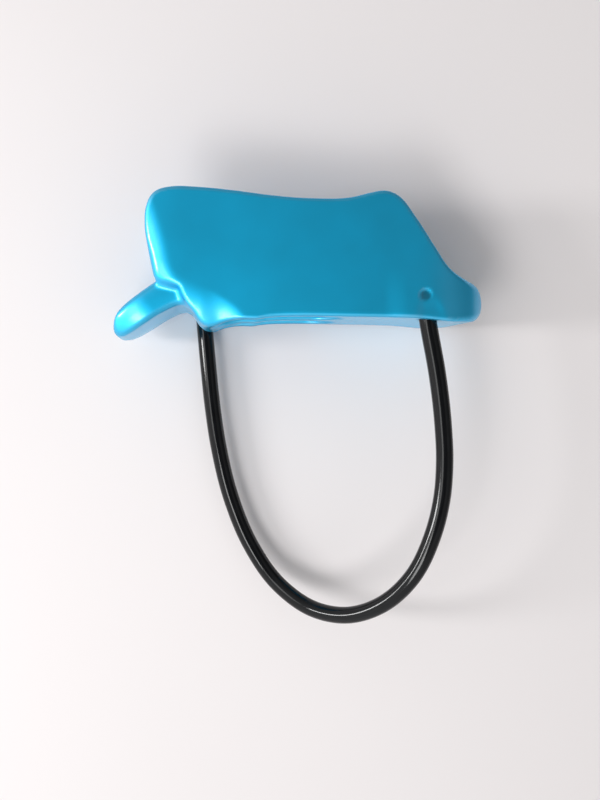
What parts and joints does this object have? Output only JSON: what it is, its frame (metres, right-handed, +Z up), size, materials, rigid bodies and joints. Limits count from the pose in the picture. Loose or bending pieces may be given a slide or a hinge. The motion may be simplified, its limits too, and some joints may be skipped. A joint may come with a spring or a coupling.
{
  "type": "belay and rappel device",
  "caption": "Forged tube-style belay and rappel device: rope slots between cheeks and a web, a V-grooved braking horn, a rounded nose and a coated keeper cable loop.",
  "frame": {"origin": "middle of the forged body in X and Y, on the plane of the far cheek's outer face, on which the device lies", "axes": "+X from the horn to the nose, +Y from the keeper cable to the rope side, +Z up from the far cheek to the near cheek"},
  "size_m": [0.086, 0.1013, 0.033],
  "materials": {
    "anodised_body": "satin-gloss blue anodising on forged and tumbled aluminium",
    "cable_jacket": "smooth glossy black extruded plastic",
    "wire_rope": "bright steel strands"
  },
  "bodies": {
    "device_body": {"forged_body": "anodised_body", "jacket_end_near": "cable_jacket", "jacket_end_far": "cable_jacket", "core_end_near": "wire_rope", "core_end_far": "wire_rope"},
    "keeper_loop": {"jacket_loop": "cable_jacket", "core_loop": "wire_rope"}
  },
  "joints": [
    {"name": "keeper_loop_flex", "type": "hinge", "parent": "device_body", "child": "keeper_loop", "pos_m": [0.0287, -0.0132, 0.0285], "axis": [-0.9047, -0.0142, -0.4258], "range_deg": [-3, 35], "stiffness_Nm_per_rad": 0.3}
  ]
}
